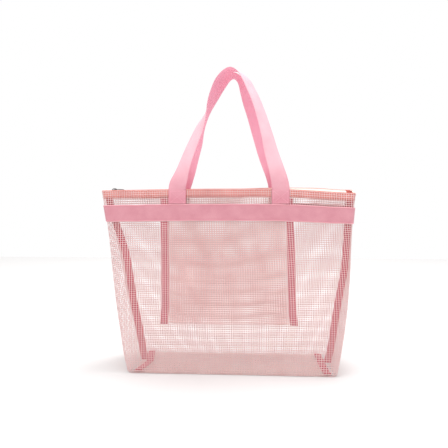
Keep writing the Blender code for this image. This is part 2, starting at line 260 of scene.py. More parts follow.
def multiplied(nodes, links, colour, factor, by):
    mix = nodes.new("ShaderNodeMix")
    mix.data_type, mix.blend_type = "RGBA", "MULTIPLY"
    links.new(factor, mix.inputs["Factor"])
    links.new(colour, mix.inputs[6])
    mix.inputs[7].default_value = (*by, 1.0)
    return mix.outputs[2]


def wovenLook(name, dark, light, edge, halfWidth, weave):
    # ribs along the strap times the warp lines across it; the selvedge takes its own tint
    look, nodes, links, shader = newLook(name)
    uv = nodes.new("ShaderNodeUVMap")
    uv.uv_map = "strap"
    axes = nodes.new("ShaderNodeSeparateXYZ")
    links.new(uv.outputs["UV"], axes.inputs["Vector"])
    across, along = axes.outputs["X"], axes.outputs["Y"]
    ribs = calc(nodes, links, "SINE", calc(nodes, links, "MULTIPLY", along, 2 * np.pi / weave["rib"]), 0)
    warps = calc(nodes, links, "SINE", calc(nodes, links, "MULTIPLY", across, 2 * np.pi / weave["warp"]), 0)
    cross = calc(nodes, links, "MULTIPLY", ribs, warps)
    place = nodes.new("ShaderNodeTexCoord").outputs["Object"]
    fibre = noise(nodes, links, place, 900.0)
    drift = noise(nodes, links, place, 38.0, 3.0)
    mixed = calc(nodes, links, "MULTIPLY_ADD", cross, weave["contrast"])
    links.new(calc(nodes, links, "MULTIPLY_ADD", fibre, 0.35), mixed.node.inputs[2])
    mixed.node.inputs[2].links[0].from_node.inputs[2].default_value = 0.0
    total = calc(nodes, links, "ADD", mixed, calc(nodes, links, "MULTIPLY", drift, 0.65))
    ramp = nodes.new("ShaderNodeValToRGB")
    ramp.color_ramp.elements[0].position = 0.25
    ramp.color_ramp.elements[1].position = 0.75
    ramp.color_ramp.elements[0].color = dark
    ramp.color_ramp.elements[1].color = light
    links.new(total, ramp.inputs["Fac"])
    rim = nodes.new("ShaderNodeMapRange")
    rim.inputs["From Min"].default_value = halfWidth - weave["selvedge"]
    rim.inputs["From Max"].default_value = halfWidth - weave["selvedge"] * 0.6
    links.new(calc(nodes, links, "ABSOLUTE", across, 0), rim.inputs["Value"])
    tint = nodes.new("ShaderNodeMix")
    tint.data_type = "RGBA"
    links.new(rim.outputs["Result"], tint.inputs["Factor"])
    links.new(ramp.outputs["Color"], tint.inputs[6])
    tint.inputs[7].default_value = edge
    colour = tint.outputs[2]
    # painted shade: the strap's inner face, turned down and in under the loop, is multiplied darker and
    # redder
    if "inside" in weave:
        face = nodes.new("ShaderNodeAttribute")
        face.attribute_name = "inside"
        colour = multiplied(nodes, links, colour, face.outputs["Fac"], weave["inside"])
        # painted shade: the hanging legs and sewn ends of the straps are darkened, unlike the loop that
        # faces the top light
        foot = nodes.new("ShaderNodeMapRange")
        foot.inputs["From Min"].default_value, foot.inputs["From Max"].default_value = weave["footRun"]
        links.new(calc(nodes, links, "ABSOLUTE", along, 0), foot.inputs["Value"])
        colour = multiplied(nodes, links, colour, foot.outputs["Result"], weave["foot"])
        # the shaded turn of the loops, to the left of their top
        crown = nodes.new("ShaderNodeMapRange")
        crown.inputs["From Min"].default_value, crown.inputs["From Max"].default_value = weave["crownRun"]
        offset = calc(nodes, links, "SUBTRACT", along, weave["crownPlace"])
        links.new(calc(nodes, links, "ABSOLUTE", offset, 0), crown.inputs["Value"])
        colour = multiplied(nodes, links, colour, crown.outputs["Result"], weave["crown"])
    links.new(colour, shader.inputs["Base Color"])
    height = calc(nodes, links, "ADD", calc(nodes, links, "MULTIPLY", cross, 0.5), fibre)
    bumped(nodes, links, shader, height, weave["bump"], 0.0004)
    shader.inputs["Roughness"].default_value = weave["roughness"]
    shader.inputs["Specular IOR Level"].default_value = weave.get("shine", 0.5)
    shader.inputs["Sheen Weight"].default_value = weave["sheen"]
    shader.inputs["Sheen Roughness"].default_value = 0.5
    return look


def metalLook(name):
    # dark plating, slightly cloudy, with fine scuffs
    look, nodes, links, shader = newLook(name)
    place = nodes.new("ShaderNodeTexCoord").outputs["Object"]
    cloud = noise(nodes, links, place, 420.0, 4.0)
    tinted(nodes, links, shader, cloud, paint(40, 36, 38), paint(74, 68, 69))
    bumped(nodes, links, shader, noise(nodes, links, place, 2200.0), 0.25, 0.0001)
    shader.inputs["Metallic"].default_value = 0.85
    shader.inputs["Roughness"].default_value = 0.42
    return look


def floorLook():
    look, nodes, links, shader = newLook("floor_white")
    place = nodes.new("ShaderNodeTexCoord").outputs["Object"]
    light = studio["floorTint"]
    dark = tuple(c * 0.985 for c in light)
    tinted(nodes, links, shader, noise(nodes, links, place, 3.0), (*dark, 1), (*light, 1))
    bumped(nodes, links, shader, noise(nodes, links, place, 160.0), 0.03, 0.0004)
    shader.inputs["Roughness"].default_value = 0.85
    return look


looks = {
    "net": yarnLook("mesh_cloth", paint(233, 196, 195), paint(244, 215, 213)),
    # painted light: the pocket's yarn is a lighter, redder copy of the net's, standing in for light that
    # passes through its layers
    "pocketNet": yarnLook("pocket_cloth", paint(252, 202, 198), paint(255, 218, 213)),
    # painted light: the base's yarn is a lighter copy of the net's, standing in for light that reaches the
    # bag's floor
    "baseNet": yarnLook("base_cloth", paint(254, 214, 208), paint(255, 228, 222)),
    "hemCore": yarnLook("hem_cloth", paint(226, 126, 116), paint(240, 147, 137), 0.55),
    "zipCoil": yarnLook("zip_coil", paint(244, 196, 188), paint(250, 214, 206), 0.35),
    "thread": yarnLook("pink_thread", paint(214, 118, 132), paint(232, 146, 158), 0.5),
    "hemThread": yarnLook("salmon_thread", paint(176, 78, 72), paint(196, 98, 92), 0.5),
    "paleThread": yarnLook("pale_thread", paint(246, 176, 194), paint(252, 200, 212), 0.5),
    "metal": metalLook("gunmetal"),
}
looks["tape"] = wovenLook(
    "binding_tape", paint(198, 56, 84), paint(220, 88, 113), paint(212, 78, 104), 0.0075,
    {"rib": 0.0012, "warp": 0.0014, "contrast": 0.16, "selvedge": 0.0012, "bump": 0.5,
     "roughness": 0.75, "sheen": 0.25},
)
looks["fin"] = wovenLook(
    "side_tape", paint(192, 34, 66), paint(214, 62, 92), paint(206, 54, 84), 0.0075,
    {"rib": 0.0012, "warp": 0.0014, "contrast": 0.16, "selvedge": 0.0012, "bump": 0.5,
     "roughness": 0.75, "sheen": 0.25},
)
looks["band"] = wovenLook(
    "band_webbing", paint(202, 128, 141), paint(222, 157, 168), paint(240, 178, 187), 0.017,
    {"rib": 0.0016, "warp": 0.0022, "contrast": 0.18, "selvedge": 0.0022, "bump": 0.55,
     "roughness": 0.7, "sheen": 0.3},
)
# handle webbing: its inside, foot and crown tints are painted shade
looks["handle"] = wovenLook(
    "handle_webbing", paint(243, 185, 197), paint(250, 204, 213), paint(244, 188, 199), 0.018,
    {"rib": 0.0016, "warp": 0.0022, "contrast": 0.14, "selvedge": 0.002, "bump": 0.3,
     "roughness": 0.75, "shine": 0.12, "sheen": 0.05, "inside": (1.0, 0.82, 0.92),
     "crown": (0.93, 0.88, 0.90), "crownPlace": -0.062, "crownRun": (0.055, 0.025),
     "foot": (0.75, 0.53, 0.57), "footRun": (0.21, 0.29)},
)
looks["zipTape"] = wovenLook(
    "zip_tape", paint(244, 222, 210), paint(252, 236, 226), paint(250, 228, 218), 0.0065,
    {"rib": 0.001, "warp": 0.0012, "contrast": 0.16, "selvedge": 0.001, "bump": 0.4,
     "roughness": 0.75, "sheen": 0.2},
)
print("materials made")


# the bag's shape, shared by every piece that lies on it

hemBox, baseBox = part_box("front_hem"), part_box("bottom_panel")
shape = {
    "height": hemBox[1].z,
    "topHalfWidth": hemBox[1].x,
    "baseHalfWidth": baseBox[1].x,
    "baseHalfDepth": baseBox[1].y,
    "topHalfDepth": 0.0155,
    "hemBottom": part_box("front_hem")[0].z,
    "foldRadius": 0.007,  # the upright folds beside each face
    "footRadius": 0.005,  # the fold under each face
    "sideDrop": 0.5,  # share of the hem's height left at the side seam
    "sag": 0.0032,
    "ripple": 0.0011,
    # height, then how far the side seams are pushed in and the upright folds stand out there
    "levels": (0, 0.03, 0.08, 0.13, 0.2, 0.235, 0.27, 0.3, 0.352),
    "pressLeft": (0.0115, 0.0160, 0.0165, 0.0155, 0.0168, 0.0155, 0.0088, 0.0030, 0.0005),
    "pressRight": (0.001, -0.001, 0.0015, 0.0015, -0.005, -0.0055, -0.0055, -0.004, -0.001),
    "bulge": (0.0085, 0.0115, 0.0120, 0.0116, 0.0076, 0.0044, 0.0020, 0.0004, 0.0),
    # how far the bag's own middle line stands to the right of the frame's
    "lean": (0.0, -0.0015, -0.0015, -0.0026, -0.0048, -0.0064, -0.0078, -0.0092, -0.0112),
}


def eased(z, values):
    # the values at the levels, joined by straight lines and then averaged over 40 mm of height
    fine = np.linspace(0, shape["height"], 181)
    rough = np.interp(fine, shape["levels"], values)
    kernel = np.ones(21) / 21
    soft = np.convolve(np.pad(rough, 10, mode="edge"), kernel, mode="valid")
    return np.interp(z, fine, soft)


def halfWidth(z):
    # straight from the base's half width to the hem's, and a little proud of that low down
    t = z / shape["height"]
    straight = shape["baseHalfWidth"] + (shape["topHalfWidth"] - shape["baseHalfWidth"]) * t
    return straight + eased(z, shape["bulge"])


def halfDepth(z):
    # straight from the base's half depth to the mouth's
    t = 1 - z / shape["height"]
    return shape["topHalfDepth"] + (shape["baseHalfDepth"] - shape["topHalfDepth"]) * t


def lean(z):
    return eased(z, shape["lean"])


mouthLean = float(lean(shape["height"]))


def press(hand, z):
    # how far the side seam is pushed into the bag at this height
    return np.where(hand < 0, eased(z, shape["pressLeft"]), eased(z, shape["pressRight"]))


def lift(x, side):
    # the handles hold the mouth up in its middle, and the hem hangs off towards the corners
    share = x / shape["topHalfWidth"]
    front = 0.0030 * np.cos(share * np.pi / 2) - 0.0062 * ease(x, 0.09, 0.26)
    back = 0.0010 + 0.0052 * ease(x, -0.05, 0.12) - 0.0045 * ease(x, 0.17, 0.25)
    return np.where(side < 0, front, back)


def raised(x, z, side):
    return z + lift(x, side) * np.clip(z / shape["height"], 0, 1) ** 2


def sag(x, z, side):
    # a shallow hollow in the middle of each face, with soft waves that die out at its edges
    up = np.clip(z / shape["height"], 0, 1)
    fade = np.sin(np.pi * up) * np.clip(1 - (x / halfWidth(z)) ** 2, 0, 1)
    phase = 0.0 if side < 0 else 1.7
    wave = (
        np.sin(31 * x + 9 * z + phase)
        + 0.7 * np.sin(57 * x - 23 * z + 2.1 + phase)
        + 0.5 * np.sin(19 * x + 47 * z + 4.0 + phase)
        + 0.35 * np.sin(96 * x + 31 * z + 0.6)
    )
    return fade * (shape["sag"] + shape["ripple"] * wave)


def facePoint(x, z, side, proud=0.0):
    # a point on a face, at x from the face's own middle line
    y = side * (halfDepth(z) + proud - sag(x, z, side))
    return np.stack((x + lean(z), y + 0 * x, raised(x, z, side)), -1)


def bagPoint(share, z, side, proud=0.0):
    # share runs from -1 at the left side seam to 1 at the right one, round half the bag:
    # across the face, round the upright fold, and along the side wall to the seam
    width, depth = halfWidth(z) + proud, halfDepth(z) + proud
    radius, foot = shape["foldRadius"] + proud, shape["footRadius"]
    under = foot * (1 - np.sqrt(np.clip(1 - np.clip(1 - z / foot, 0, 1) ** 2, 0, 1)))
    width, depth = width - under, depth - under
    run, hand = np.abs(share) * (width + depth), np.sign(share)
    turn = np.clip((run - width + radius) / (2 * radius), 0, 1) * np.pi / 2
    x = np.where(run < width - radius, run, width - radius * (1 - np.sin(turn)))
    y = np.where(run < width - radius, depth, depth - radius * (1 - np.cos(turn)))
    y = np.where(run > width + radius, depth - (run - width), y)
    inward = np.clip((run - width) / depth, 0, 1)
    x = x - press(hand, z) * inward**1.25
    y = y - sag(x, z, side) * (run < width)
    squeeze = 1 - shape["sideDrop"] * inward
    z = np.where(z > shape["hemBottom"], shape["hemBottom"] + (z - shape["hemBottom"]) * squeeze, z)
    x = hand * x
    return np.stack((x + lean(z), side * y, raised(x, z, side)), -1)


# woven net

yarn = {
    "acrossPitch": 0.0049,
    "upPitch": 0.0042,
    "width": 0.00108,
    "thickness": 0.00060,
    "weaveLift": 0.00034,
}


def weave(surface, across, along):
    # warp and weft bars that pass over and under each other at every crossing of the grid
    u, v = np.meshgrid(across, along)
    middle = surface(u, v)
    alongU = unit(np.gradient(middle, axis=1))
    alongV = unit(np.gradient(middle, axis=0))
    normal = unit(np.cross(alongU, alongV))
    parity = 1 - 2 * ((np.arange(len(along))[:, None] + np.arange(len(across))) % 2)
    shift = normal * (parity * yarn["weaveLift"])[..., None]
    sideSign = np.array((1, -1, -1, 1))[:, None] * yarn["width"] / 2
    faceSign = np.array((1, 1, -1, -1))[:, None] * yarn["thickness"] / 2

    def rings(line, side):
        return line[..., None, :] + side[..., None, :] * sideSign + normal[..., None, :] * faceSign

    weft = bars(rings(middle - shift, alongV))
    warpPoints, warpFaces = bars(np.swapaxes(rings(middle + shift, alongU), 0, 1))
    return join(weft, (warpPoints, warpFaces[:, ::-1]))


def spaced(low, high, pitch):
    return np.linspace(low, high, int(round((high - low) / pitch)) + 1)


def makeBody():
    girth = 2 * (halfWidth(0.18) + halfDepth(0.18))
    shares = np.linspace(-1, 1, int(round(girth / yarn["acrossPitch"])) + 1) * 0.999
    heights = spaced(0.0012, shape["height"] - 0.0018, yarn["upPitch"])
    for word, side in (("front", -1), ("back", 1)):
        solid = weave(lambda u, v: bagPoint(u, v, side, -0.0007), shares, heights)
        nodes = (f"{word}_panel", f"left_gusset_{word}", f"right_gusset_{word}")
        cloth = makePiece(f"{word}_cloth", solid, looks["net"], nodes)
        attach(cloth, "bag")
    reachX, reachY = shape["baseHalfWidth"] - 0.004, shape["baseHalfDepth"] - 0.004

    def floorPoint(x, y):
        rise = 0.0010 + 0.0012 * (1 + np.sin(41 * x + 17 * y) * np.sin(23 * y - 29 * x)) / 2
        return np.stack((x, y, rise), -1)

    acrossLines = spaced(-reachX, reachX, yarn["acrossPitch"])
    upLines = spaced(-reachY, reachY, yarn["upPitch"])
    solid = weave(floorPoint, acrossLines, upLines)
    # the base takes the lighter copy of the yarn, which is painted light
    base = makePiece("base_cloth", solid, looks["baseNet"], ("bottom_panel",))
    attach(base, "bag")
    print("body net woven")


# hem, band and tapes: a closed profile carried along a line

hem = {"inner": -0.0026, "outer": -0.0014, "lip": -0.0002, "stations": 260}
band = {"proud": 0.0011, "halfThickness": 0.0008, "stations": 280}
tape = {"width": 0.015, "halfThickness": 0.0011}


def roundedProfile(halfWide, halfThick, count=20, squareness=6.0):
    # a superellipse: cosine and sine raised to the power two over the squareness
    a = np.linspace(0, 2 * np.pi, count, endpoint=False) + np.pi / count
    c, s = np.cos(a), np.sin(a)
    power = 2 / squareness
    return np.sign(c) * np.abs(c) ** power * halfWide, np.sign(s) * np.abs(s) ** power * halfThick


def strapLoft(middle, across, normal, halfWide, halfThick, count=20):
    # the profile's wide way goes along across, and its thin way along normal; UV is metres across and along
    wide, thin = roundedProfile(halfWide, halfThick, count)
    rings = middle[:, None] + across[:, None] * wide[:, None] + normal[:, None] * thin[:, None]
    length = np.concatenate(((0,), np.cumsum(np.linalg.norm(np.diff(middle, axis=0), axis=1))))
    uv = np.stack(np.broadcast_arrays(wide[None, :], length[:, None]), -1).reshape(-1, 2)
    return loft(rings), uv


def makeHem(word, side):
    top, bottom = shape["height"], shape["hemBottom"]
    inner, outer, lip = hem["inner"], hem["outer"], hem["lip"]
    profile = np.array((
        (inner, bottom), (inner, bottom + 0.005), (inner, top - 0.005), (inner, top - 0.0012),
        (inner * 0.8, top - 0.0002), (inner * 0.5, top + 0.0002), (lip, top - 0.0001), (lip, top - 0.0012),
        (outer, top - 0.0016), (outer, top - 0.005), (outer, bottom + 0.005), (outer, bottom),
    ))
    share = np.linspace(-0.998, 0.998, hem["stations"])
    heights = profile[:, 1] + 0 * share[:, None]
    rings = bagPoint(share[:, None] + 0 * profile[:, 1], heights, side, profile[:, 0])
    piece = makePiece(f"{word}_hem_fold", loft(rings), looks["hemCore"], (f"{word}_hem",))
    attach(piece, "bag")
    return piece


def makeBand(word, side):
    low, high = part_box(f"{word}_band")
    middle, half = (low.z + high.z) / 2, (high.z - low.z) / 2
    tall, thin = roundedProfile(half, band["halfThickness"])
    share = np.linspace(-0.998, 0.998, band["stations"])
    ruck = 0.0004 * np.sin(share * 40) + 0.0003 * np.sin(share * 23 + 1)
    rings = bagPoint(
        share[:, None] + 0 * tall, middle + tall + 0 * share[:, None], side,
        band["proud"] + thin + 0 * share[:, None],
    )
    rings[..., 2] += ruck[:, None] * 0.6
    girth = share * (halfWidth(middle) + halfDepth(middle))
    uv = np.stack(np.broadcast_arrays(tall[None, :], girth[:, None]), -1).reshape(-1, 2)
    stoodFor = (f"{word}_band",)
    piece = makePiece(f"{word}_band_webbing", loft(rings), looks["band"], stoodFor, uv)
    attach(piece, "bag")
    return piece


def makeSideTape(word, hand):
    z = np.linspace(0.0050, shape["hemBottom"] + 0.006, 90)
    seam = halfWidth(z) - press(hand, z) - 0.0016
    outer = hand * seam + lean(z)
    half = tape["width"] / 2
    sway = 0.0016 * np.sin(17 * z + 0.4) * np.sin(np.pi * z / shape["height"])
    middle = np.stack((outer - hand * half, sway - 0.0004, z), -1)
    across = np.tile((1.0, 0.0, 0.0), (len(z), 1))
    across[:, 1] = 0.18 * np.sin(9 * z + 0.5)
    across = unit(across)
    normal = unit(np.cross(across, unit(np.gradient(middle, axis=0))))
    solid, uv = strapLoft(middle, across, normal, half, tape["halfThickness"])
    piece = makePiece(f"{word}_side_tape", solid, looks["fin"], (f"{word}_side_binding",), uv)
    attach(piece, "bag")


def makeCornerTape(word, hand):
    y = np.linspace(-0.0605, 0.0605, 50)
    half = tape["width"] / 2
    outer = hand * (shape["baseHalfWidth"] - 0.003 - press(hand, 0) * (1 - np.abs(y) / 0.065))
    middle = np.stack((outer - hand * half, y, 0.0046 + 0.0008 * np.sin(60 * y)), -1)
    across = unit(np.tile((1.0, 0.0, -0.10 * hand), (len(y), 1)))
    normal = unit(np.cross(across, unit(np.gradient(middle, axis=0))))
    solid, uv = strapLoft(middle, across, normal, half, tape["halfThickness"])
    stoodFor = (f"{word}_corner_binding",)
    piece = makePiece(f"{word}_corner_tape", solid, looks["fin"], stoodFor, uv)
    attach(piece, "bag")


# inner pocket

pocket = {
    "half": 0.135,
    "mouth": 0.3425,
    "fold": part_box("pocket_fold")[0].z,
    "mouthGap": 0.0055,
    "foldGap": 0.0125,
    "pinch": 0.0014,
    "behind": -0.0031,  # outer layer from the bag's outline
}


def pocketAcross(x, z):
    # the pocket hangs a little to the left, narrows downwards, and spreads again at its fold
    up = np.clip((z - pocket["fold"]) / (pocket["mouth"] - pocket["fold"]), 0, 1)
    spread = 1 - 0.014 * (1 - up) + 0.021 * (1 - ease(z - pocket["fold"], 0, 0.03))
    return x * spread - 0.0055 + 0.0045 * z / shape["height"]


def pocketGap(x, z):
    # widest in the middle, and pinched to the tapes at both sides
    t = np.clip((z - pocket["fold"]) / (pocket["mouth"] - pocket["fold"]), 0, 1)
    gapWidth = pocket["foldGap"] + (pocket["mouthGap"] - pocket["foldGap"]) * t
    full = 1 - np.clip(np.abs(x) / (pocket["half"] - 0.012), 0, 1) ** 4
    return pocket["pinch"] + (gapWidth - pocket["pinch"]) * full


def pocketPoint(x, run):
    # down the outer layer, half way round the fold, and up the inner layer
    drop = pocket["mouth"] - pocket["fold"] - 0.004
    bend = 0.012
    turn = np.clip((run - drop) / bend, 0, 1) * np.pi
    down = np.where(run < drop, run, np.where(run > drop + bend, 2 * drop + bend - run, drop))
    z = pocket["mouth"] - down
    gap = pocketGap(x, z)
    point = facePoint(pocketAcross(x, z), z, -1, pocket["behind"])
    point[..., 1] += gap * (1 - np.cos(turn)) / 2
    point[..., 2] -= np.minimum(gap / 2, 0.0038) * np.sin(turn)
    return point


def makePocket():
    total = 2 * (pocket["mouth"] - pocket["fold"] - 0.004) + 0.012
    reach = pocket["half"] - 0.011
    solid = weave(pocketPoint, spaced(-reach, reach, yarn["acrossPitch"]), spaced(0, total, yarn["upPitch"]))
    nodes = ("pocket_outer_layer", "pocket_inner_layer", "pocket_fold")
    # the pocket takes the lighter copy of the yarn, which is painted light
    net = makePiece("pocket_net", solid, looks["pocketNet"], nodes)
    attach(net, "bag")
    half = tape["width"] / 2
    for word, hand in (("left", -1), ("right", 1)):
        z = np.linspace(pocket["fold"], pocket["mouth"], 80)
        x = pocketAcross(np.full_like(z, hand * (pocket["half"] - half)), z)
        middle = facePoint(x, z, -1, pocket["behind"])
        middle[:, 1] += pocket["pinch"] / 2
        across = np.tile((1.0, 0.0, 0.0), (len(z), 1))
        normal = unit(np.cross(across, unit(np.gradient(middle, axis=0))))
        solid, uv = strapLoft(middle, across, normal, half, 0.0015)
        stoodFor = (f"pocket_{word}_binding",)
        piece = makePiece(f"pocket_{word}_tape", solid, looks["tape"], stoodFor, uv)
        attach(piece, "bag")
    print("pocket made")


# handles

handle = {
    "halfWidth": 0.018,
    "halfThickness": 0.0008,
    "rise": 0.245,
    "start": 0.3603,
    "topOut": 0.0186,  # the strap's middle from the bag's middle plane, at the top
    "shift": -0.007,
    "drift": -0.0035,  # the loops hang a little further to the left than their feet
    "stations": 190,
    "frontSpacing": 0.219,
    "backSpacing": 0.200,
}
# share of half the spacing, share of the rise, and turn of the width in degrees
frontRoute = (
    (-0.957, 0.0, 0), (-0.945, 0.04, 10), (-0.89, 0.10, 24), (-0.82, 0.18, 38), (-0.67, 0.335, 46),
    (-0.505, 0.506, 56), (-0.395, 0.624, 78), (-0.345, 0.68, 92), (-0.27, 0.76, 104), (-0.165, 0.87, 106),
    (-0.04, 0.944, 100), (0.08, 0.978, 88), (0.225, 0.958, 74), (0.352, 0.895, 62), (0.442, 0.818, 58),
    (0.53, 0.733, 56), (0.632, 0.604, 52), (0.735, 0.445, 45), (0.82, 0.29, 35), (0.895, 0.155, 25),
    (0.94, 0.06, 12), (0.957, 0.0, 0),
)
backRoute = (
    (-1.0, 0.0, 0), (-0.99, 0.04, 4), (-0.92, 0.11, 26), (-0.815, 0.196, 48), (-0.70, 0.318, 60),
    (-0.62, 0.412, 68), (-0.555, 0.514, 78), (-0.475, 0.60, 86), (-0.385, 0.69, 86), (-0.245, 0.80, 80),
    (-0.10, 0.90, 78), (0.04, 0.965, 84), (0.15, 0.975, 86), (0.25, 0.935, 79), (0.33, 0.85, 69),
    (0.41, 0.76, 60), (0.51, 0.649, 54), (0.60, 0.53, 50), (0.70, 0.40, 45), (0.81, 0.26, 38),
    (0.92, 0.13, 28), (0.98, 0.05, 14), (1.0, 0.0, 0),
)


def smoothRoute(route, t):
    # Catmull-Rom through the route's rows; t runs from 0 to the number of rows less one
    rows = np.array(route)
    i = np.minimum(t.astype(int), len(rows) - 2)
    u = (t - i)[:, None]
    p, q, r, s = (rows[np.clip(i + k, 0, len(rows) - 1)] for k in (-1, 0, 1, 2))
    return 0.5 * (2 * q + (r - p) * u + (2 * p - 5 * q + 4 * r - s) * u**2 + (3 * q - p - 3 * r + s) * u**3)


def handleLine(side, spacing, route):
    # the sewn end, the loop, and the other sewn end, as middle points and the width's direction
    way = smoothRoute(route, np.linspace(0, len(route) - 1, handle["stations"]))
    x, rise, turn = way[:, 0] * spacing / 2, way[:, 1], np.radians(way[:, 2])
    z = handle["start"] + rise * handle["rise"]
    out = halfDepth(shape["height"]) + band["proud"]
    y = out + (handle["topOut"] - out) * rise
    raiseBy = lift(x, side) * (1 - rise) + 0.0015 * rise
    drift = handle["drift"] * ease(rise, 0.02, 0.35)
    loop = np.stack((x + handle["shift"] + drift, side * y, z + raiseBy), -1)
    run, climb = np.gradient(x), np.gradient(z)
    run[[0, -1]] = 0
    size = np.hypot(run, climb)
    across = np.stack((climb / size * np.cos(turn), side * np.sin(turn), -run / size * np.cos(turn)), -1)
    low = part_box("front_handle_left_end")[0].z
    lowZ = np.linspace(low, shape["height"] - 0.0006, 12)
    ends = []
    for row in (route[0], route[-1]):
        x = row[0] * spacing / 2 + handle["shift"] - lean(lowZ)
        ends.append(facePoint(x, lowZ, side, band["proud"]))
    flat = np.tile((1.0, 0.0, 0.0), (len(lowZ), 1))
    middle = np.concatenate((ends[0], loop, ends[1][::-1]))
    across = np.concatenate((flat, across, -flat))
    return middle, across


def makeHandle(word, side, spacing, route):
    middle, across = handleLine(side, spacing, route)
    forward = unit(np.gradient(middle, axis=0))
    across = unit(across - forward * (across * forward).sum(-1, keepdims=True))
    normal = unit(np.cross(forward, across))
    solid, uv = strapLoft(middle, across, normal, handle["halfWidth"], handle["halfThickness"], 24)
    uv[:, 1] -= uv[:, 1].max() / 2
    thin = roundedProfile(handle["halfWidth"], handle["halfThickness"], 24)[1]
    # 1 on the strap's inner face and 0 on its outer one: where the look paints shade
    inside = np.tile(0.5 - side * thin / (2 * handle["halfThickness"]), len(middle))
    print(word, "strap runs", round(float(uv[:, 1].max()), 4), "m each way from its middle")
    nodes = (f"{word}_handle_left_end", f"{word}_handle_right_end", f"{word}_handle_loop")
    piece = makePiece(f"{word}_handle_strap", solid, looks["handle"], nodes, uv)
    shade = piece.data.attributes.new("inside", "FLOAT", "POINT")
    shade.data.foreach_set("value", inside.astype(np.float32))
    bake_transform(piece)
    return piece


# zip

zipper = {
    "level": (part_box("zip_front_tape")[0].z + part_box("zip_front_tape")[1].z) / 2,
    "reach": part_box("zip_front_tape")[1].x,
    "sewn": 0.0122,
    "split": 0.0008,
    "endSplit": 0.0042,  # from the middle line to each strip of the right end
    "coilPitch": 0.0015,
    "wire": 0.00028,
}


def zipLift(x, y):
    # from the front hem's lift to the back one's, most of it close to the front
    t = np.clip((y / zipper["sewn"] + 1) / 2, 0, 1) ** 0.35
    return lift(x, -1) * (1 - t) + lift(x, 1) * t


def makeZipHalf(word, side):
    x = np.linspace(-zipper["reach"], zipper["reach"], 200)
    wide, thin = roundedProfile((zipper["sewn"] - zipper["split"]) / 2, 0.00045, 16)
    y = side * (zipper["sewn"] + zipper["split"]) / 2 + wide
    rings = np.stack(np.broadcast_arrays(
        (x + mouthLean)[:, None], y, zipper["level"] + thin + zipLift(x[:, None], y)), -1)
    uv = np.stack(np.broadcast_arrays(wide[None, :], x[:, None]), -1).reshape(-1, 2)
    stoodFor = (f"zip_{word}_tape",)
    cloth = makePiece(f"zip_{word}_webbing", loft(rings), looks["zipTape"], stoodFor, uv)
    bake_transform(cloth)
    # a flattened spiral: one turn for each pitch along the tape's edge
    turns = 2 * zipper["reach"] / zipper["coilPitch"]
    a = np.linspace(0, turns * 2 * np.pi, int(turns * 7))
    shift = 0.0 if side < 0 else zipper["coilPitch"] / 2
    x = np.linspace(-zipper["reach"], zipper["reach"] - zipper["coilPitch"], len(a)) + shift
    y = side * (0.0020 - 0.0012 * np.cos(a))
    z = zipper["level"] + 0.00045 + 0.0008 + 0.0004 * np.sin(a) + zipLift(x, y)
    line = np.stack((x + mouthLean, y, z), -1)
    forward = unit(np.gradient(line, axis=0))
    sideways = unit(np.cross(forward, (0, 0, 1.0)))
    upward = np.cross(sideways, forward)
    signs = np.array(((1, 1), (-1, 1), (-1, -1), (1, -1))) * zipper["wire"]
    rings = line[:, None] + sideways[:, None] * signs[:, :1] + upward[:, None] * signs[:, 1:]
    coil = makePiece(f"zip_{word}_spiral", loft(rings), looks["zipCoil"], (f"zip_{word}_coil",))
    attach(coil, f"zip_{word}_half")


def makeZipEnd(word, hand):
    # the left end is folded over; the right one is still split, so that the slider can run onto it
    low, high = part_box(f"zip_{word}_end")
    x = np.linspace(low.x, high.x, 24)
    over = 0.0012 * np.sin(np.pi * np.linspace(0, 1, 24)) if hand < 0 else 0 * x
    split = zipper["endSplit"]  # clear of the slider on either side
    halves = ((0.0, high.y),)
    if hand > 0:
        halves = tuple((side * (high.y + split) / 2, (high.y - split) / 2) for side in (-1, 1))
    solids, uvs = [], []
    for y, half in halves:
        wide, thin = roundedProfile(half, 0.0007 if hand < 0 else 0.00045, 24)
        z = zipper["level"] + over[:, None] + thin + zipLift(x[:, None], y + wide)
        rings = np.stack(np.broadcast_arrays((x + mouthLean)[:, None], y + wide, z), -1)
        solids.append(loft(rings))
        uvs.append(np.stack(np.broadcast_arrays(wide[None, :], x[:, None]), -1).reshape(-1, 2))
    stoodFor, uv = (f"zip_{word}_end",), np.concatenate(uvs)
    piece = makePiece(f"zip_{word}_tab", join(*solids), looks["zipTape"], stoodFor, uv)
    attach(piece, "bag")


slide = {
    "plate": 0.0011,
    "waist": 0.66,  # width of the narrow end, as a share of the wide one
    "post": 0.0009,
    "archBar": 0.0011,
    "eye": 0.0056,
    "topLevel": 0.0031,  # middle of the top plate over the tape
    "postReach": 0.4,  # of half the slider's length
    "archReach": 0.74,
    "tilt": 0.0524,  # the pull's tip lies this many radians below its axis
}


